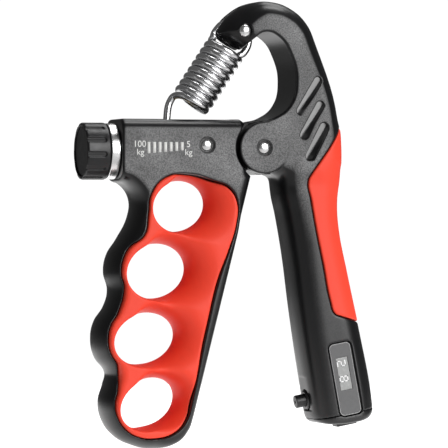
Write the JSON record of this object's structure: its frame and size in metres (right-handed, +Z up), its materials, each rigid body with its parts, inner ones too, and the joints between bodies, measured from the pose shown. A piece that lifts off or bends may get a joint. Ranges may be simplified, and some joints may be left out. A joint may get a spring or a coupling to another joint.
{
  "type": "hand grip strengthener",
  "caption": "Adjustable hand grip strengthener: a sprung palm lever on a finger handle with four finger holes, a resistance knob and a squeeze counter.",
  "frame": {"origin": "middle of the whole width and depth, at the lowest point of the finger handle", "axes": "+X from the resistance knob towards the palm lever, +Y to the back face, +Z up the finger handle to the top of the lever's bow"},
  "size_m": [0.1176, 0.026, 0.1751],
  "materials": {
    "black_plastic": "fine moulded texture on the flat faces",
    "soft_red": "soft matt",
    "knob_plastic": "fine texture",
    "polished_metal": "polished",
    "spring_steel": "bright plated wire",
    "steel": "machined",
    "brass": "machined",
    "bearing_plastic": "natural",
    "lens": "glossy",
    "display": "glossy",
    "circuit_board": "satin",
    "switch_plastic": "satin"
  },
  "bodies": {
    "finger_handle": {"finger_frame": "black_plastic", "finger_insert": "soft_red", "collar_ring": "polished_metal", "thrust_washer": "steel", "tail_bearing": "bearing_plastic", "housing_pin": "polished_metal", "pivot_pin": "polished_metal", "pivot_washer_front": "bearing_plastic", "pivot_washer_back": "bearing_plastic"},
    "adjuster": {"knob": "knob_plastic", "knob_cap": "knob_plastic", "knob_screw": "steel", "adjusting_screw": "steel"},
    "slider": {"slider_nut": "brass"},
    "anchor": {"anchor_pin": "steel"},
    "lower_hook": {"spring_lower_hook": "spring_steel"},
    "coil": {"spring_coil": "spring_steel"},
    "upper_hook": {"spring_upper_hook": "spring_steel"},
    "palm_lever": {"lever_body": "black_plastic", "palm_pad": "soft_red", "spring_pin": "polished_metal", "end_cap": "black_plastic", "counter_lens": "lens", "lcd_module": "display", "counter_board": "circuit_board", "button_cell": "steel", "battery_contact": "brass", "battery_door": "black_plastic", "plunger_switch": "switch_plastic", "reset_switch": "switch_plastic", "plunger_bush": "knob_plastic", "plunger_spring": "steel"},
    "plunger": {"plunger": "knob_plastic"},
    "reset_button": {"reset_button": "knob_plastic"}
  },
  "joints": [
    {"name": "lever_squeeze", "type": "hinge", "parent": "finger_handle", "child": "palm_lever", "pos_m": [0.0122, 0, 0.1174], "axis": [0, 1, 0], "range_deg": [0, 24], "stiffness_Nm_per_rad": 7.6, "springref_deg": -3.78},
    {"name": "knob_turn", "type": "hinge", "parent": "finger_handle", "child": "adjuster", "pos_m": [-0.0493, 0, 0.1159], "axis": [1, 0, 0], "range_deg": [0, 2341]},
    {"name": "slider_travel", "type": "slide", "parent": "finger_handle", "child": "slider", "axis": [-1, 0, 0], "range_m": [0, 0.013]},
    {"name": "anchor_swing", "type": "hinge", "parent": "slider", "child": "anchor", "pos_m": [-0.021, 0, 0.125], "axis": [0, 1, 0], "range_deg": [0, 9.51]},
    {"name": "spring_swing", "type": "hinge", "parent": "anchor", "child": "lower_hook", "pos_m": [-0.021, 0, 0.125], "axis": [0, 1, 0], "range_deg": [0, 14.51]},
    {"name": "stretch_by_knob", "type": "slide", "parent": "lower_hook", "child": "coil", "axis": [0.5562, 0, 0.831], "range_m": [0, 0.00961], "deforming": ["spring_coil"]},
    {"name": "stretch_by_squeeze", "type": "slide", "parent": "coil", "child": "upper_hook", "axis": [0.5562, 0, 0.831], "range_m": [0, 0.01341]},
    {"name": "plunger_press", "type": "slide", "parent": "palm_lever", "child": "plunger", "axis": [0.9833, 0, 0.1822], "range_m": [0, 0.0035], "stiffness_N_per_m": 150, "springref_m": -0.002, "deforming": ["plunger_spring"]},
    {"name": "reset_press", "type": "slide", "parent": "palm_lever", "child": "reset_button", "axis": [-0.1822, 0, 0.9833], "range_m": [0, 0.0008], "stiffness_N_per_m": 800, "springref_m": -0.0006}
  ],
  "couplings": [
    {"joint": "knob_turn", "follows": "slider_travel", "rad_per_m": 3141.6},
    {"joint": "anchor_swing", "follows": "slider_travel", "rad_per_m": 12.754},
    {"joint": "spring_swing", "follows": "lever_squeeze", "ratio": 0.60417},
    {"joint": "stretch_by_knob", "follows": "slider_travel", "ratio": 0.73846},
    {"joint": "stretch_by_squeeze", "follows": "lever_squeeze", "m_per_rad": 0.03199}
  ]
}
